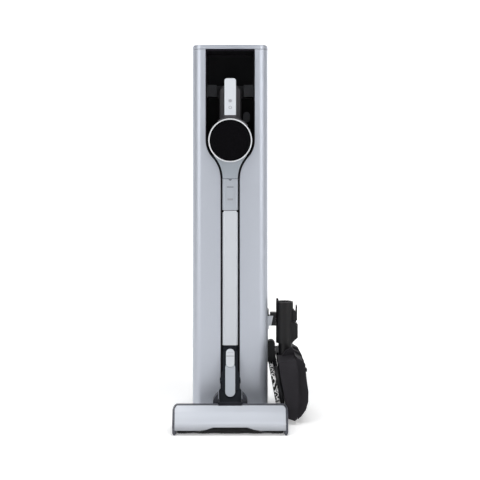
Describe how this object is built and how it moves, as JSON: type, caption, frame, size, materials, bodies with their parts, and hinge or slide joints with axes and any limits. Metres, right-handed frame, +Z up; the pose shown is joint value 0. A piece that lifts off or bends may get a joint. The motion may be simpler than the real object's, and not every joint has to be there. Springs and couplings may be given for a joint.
{
  "type": "cordless stick vacuum",
  "caption": "Cordless stick vacuum docked in a slim self-emptying tower, with a round clear dust cup behind the motor, a powered floor head and a turning-pad mop head hung on the side.",
  "frame": {"origin": "centre of the tower's footprint, on the floor under its base plate", "axes": "+Z up the tower, -Y towards the front that the vacuum docks in, +X towards the side that the mop head hangs on"},
  "size_m": [0.356, 0.479, 1],
  "materials": {
    "silver_shell": "satin pearl paint",
    "silver_trim": "satin metallic paint",
    "black_plastic": "fine moulded texture",
    "liner_black": "smooth, lightly polished",
    "dark_grey_plastic": "fine moulded texture",
    "gloss_black": "polished",
    "bright_ring": "turned and anodised",
    "rubber_black": "matt",
    "clear_cup": "clear polycarbonate",
    "filter_white": "pleated filter paper",
    "bag_fleece": "non-woven fleece",
    "bag_card": "pressed card",
    "copper_motor": "drawn steel can",
    "circuit_green": "solder mask",
    "contact_gold": "plated",
    "steel": "brushed",
    "brush_fibre": "nylon bristles",
    "mop_cloth": "looped microfibre",
    "mop_black": "fine moulded texture"
  },
  "bodies": {
    "cabinet": {"rear_cabinet": "silver_shell", "rear_top_cap": "silver_shell", "base_plate": "dark_grey_plastic", "base_pads": "rubber_black", "cabinet_hinges": "steel", "exhaust_grille": "dark_grey_plastic", "exhaust_filter": "filter_white", "fan_housing": "dark_grey_plastic", "dust_duct": "black_plastic", "bag_plate": "bag_card", "dust_bag": "bag_fleece", "control_board": "circuit_green", "power_inlet": "black_plastic"},
    "suction_fan": {"tower_fan": "steel"},
    "front_half": {"front_panel": "silver_shell", "front_top_cap": "silver_shell", "dock_liner": "liner_black", "groove_liner": "liner_black", "handle_cradle": "black_plastic", "charge_pins": "contact_gold", "port_seal": "rubber_black", "mop_bracket": "mop_black", "door_hinges": "steel"},
    "hand_unit": {"motor_housing": "black_plastic", "fan_motor": "copper_motor", "cap_ring": "bright_ring", "dust_cup": "clear_cup", "cyclone": "dark_grey_plastic", "neck_cover": "silver_trim", "handle_shell": "black_plastic", "handle_cover": "silver_trim", "coupler": "silver_trim", "wand_tube": "black_plastic", "wand_cover": "silver_trim"},
    "motor_fan": {"motor_fan": "steel"},
    "filter_cap": {"filter_cap": "gloss_black", "hepa_filter": "filter_white"},
    "bin_flap": {"bin_flap": "clear_cup"},
    "press_lever": {"press_lever": "dark_grey_plastic"},
    "power_button": {"power_button": "silver_trim"},
    "mode_button": {"mode_button": "silver_trim"},
    "battery": {"battery": "black_plastic"},
    "battery_latch": {"battery_latch": "dark_grey_plastic"},
    "wand_release": {"wand_release": "silver_trim"},
    "telescope_button": {"telescope_button": "black_plastic"},
    "inner_wand": {"lower_tube": "dark_grey_plastic", "neck_housing": "dark_grey_plastic", "neck_trim": "silver_trim"},
    "nozzle_release": {"nozzle_release": "silver_trim"},
    "neck_yoke": {"neck_yoke": "dark_grey_plastic"},
    "floor_head": {"head_base": "dark_grey_plastic", "head_cover": "silver_trim"},
    "brush_roll": {"brush_roll": "brush_fibre"},
    "head_wheels": {"head_wheels": "rubber_black"},
    "mop_tube": {"mop_tube": "mop_black"},
    "mop_release": {"mop_release": "mop_black"},
    "mop_head": {"mop_chassis": "mop_black", "water_tank": "mop_black"},
    "front_pad": {"front_pad": "mop_cloth"},
    "rear_pad": {"rear_pad": "mop_cloth"}
  },
  "joints": [
    {"name": "door_swing", "type": "hinge", "parent": "cabinet", "child": "front_half", "pos_m": [-0.103, 0.0105, 0.5], "axis": [0, 0, -1], "range_deg": [0, 100]},
    {"name": "undock", "type": "slide", "parent": "front_half", "child": "hand_unit", "axis": [0, -0.9848, 0.1736], "range_m": [0, 0.26]},
    {"name": "suction_fan_spin", "type": "hinge", "parent": "cabinet", "child": "suction_fan", "pos_m": [0, 0.066, 0.09], "axis": [0, 0, 1], "continuous": true},
    {"name": "motor_fan_spin", "type": "hinge", "parent": "hand_unit", "child": "motor_fan", "pos_m": [0, -0.124, 0.743], "axis": [0, 1, 0], "continuous": true},
    {"name": "filter_cap_twist", "type": "hinge", "parent": "hand_unit", "child": "filter_cap", "pos_m": [0, -0.158, 0.743], "axis": [0, 1, 0], "range_deg": [0, 40]},
    {"name": "bin_flap_drop", "type": "hinge", "parent": "hand_unit", "child": "bin_flap", "pos_m": [0, -0.0065, 0.688], "axis": [-1, 0, 0], "range_deg": [0, 75]},
    {"name": "press_lever_slide", "type": "slide", "parent": "hand_unit", "child": "press_lever", "axis": [0, 1, 0], "range_m": [0, 0.05]},
    {"name": "power_button_press", "type": "slide", "parent": "hand_unit", "child": "power_button", "axis": [0, 1, 0], "range_m": [0, 0.001], "stiffness_N_per_m": 400, "springref_m": -0.002},
    {"name": "mode_button_press", "type": "slide", "parent": "hand_unit", "child": "mode_button", "axis": [0, 1, 0], "range_m": [0, 0.001], "stiffness_N_per_m": 400, "springref_m": -0.002},
    {"name": "battery_slide", "type": "slide", "parent": "hand_unit", "child": "battery", "axis": [0, 0, 1], "range_m": [0, 0.06]},
    {"name": "battery_latch_press", "type": "slide", "parent": "battery", "child": "battery_latch", "axis": [0, 0, -1], "range_m": [0, 0.002], "stiffness_N_per_m": 400, "springref_m": -0.002},
    {"name": "wand_release_press", "type": "slide", "parent": "hand_unit", "child": "wand_release", "axis": [0, 1, 0], "range_m": [0, 0.0014], "stiffness_N_per_m": 400, "springref_m": -0.002},
    {"name": "telescope_button_press", "type": "slide", "parent": "hand_unit", "child": "telescope_button", "axis": [0, -1, 0], "range_m": [0, 0.001], "stiffness_N_per_m": 400, "springref_m": -0.002},
    {"name": "wand_extend", "type": "slide", "parent": "hand_unit", "child": "inner_wand", "axis": [0, 0, -1], "range_m": [0, 0.18]},
    {"name": "nozzle_release_press", "type": "slide", "parent": "inner_wand", "child": "nozzle_release", "axis": [0, 0.8643, -0.503], "range_m": [0, 0.0015], "stiffness_N_per_m": 400, "springref_m": -0.002},
    {"name": "nozzle_tilt", "type": "hinge", "parent": "inner_wand", "child": "neck_yoke", "pos_m": [0, -0.205, 0.042], "axis": [1, 0, 0], "range_deg": [0, 80]},
    {"name": "nozzle_swivel", "type": "hinge", "parent": "neck_yoke", "child": "floor_head", "pos_m": [0, -0.23, 0.034], "axis": [0, 1, 0], "range_deg": [-40, 40]},
    {"name": "brush_roll_spin", "type": "hinge", "parent": "floor_head", "child": "brush_roll", "pos_m": [0, -0.319, 0.017], "axis": [1, 0, 0], "continuous": true},
    {"name": "head_wheels_spin", "type": "hinge", "parent": "floor_head", "child": "head_wheels", "pos_m": [0, -0.247, 0.009], "axis": [1, 0, 0], "continuous": true},
    {"name": "mop_unhook", "type": "slide", "parent": "front_half", "child": "mop_tube", "axis": [0, 0, 1], "range_m": [0, 0.02]},
    {"name": "mop_release_press", "type": "hinge", "parent": "mop_tube", "child": "mop_release", "pos_m": [0.175, -0.09, 0.2585], "axis": [0, -1, 0], "range_deg": [0, 6], "stiffness_Nm_per_rad": 0.3, "springref_deg": -11.46},
    {"name": "mop_tilt", "type": "hinge", "parent": "mop_tube", "child": "mop_head", "pos_m": [0.15, -0.09, 0.15], "axis": [0, -1, 0], "range_deg": [0, 90]},
    {"name": "front_pad_spin", "type": "hinge", "parent": "mop_head", "child": "front_pad", "pos_m": [0.16042, -0.159, 0.09091], "axis": [0.9848, 0, 0.1736], "continuous": true},
    {"name": "rear_pad_spin", "type": "hinge", "parent": "mop_head", "child": "rear_pad", "pos_m": [0.16042, -0.021, 0.09091], "axis": [0.9848, 0, 0.1736], "continuous": true}
  ],
  "couplings": [
    {"joint": "rear_pad_spin", "follows": "front_pad_spin", "ratio": -1}
  ]
}
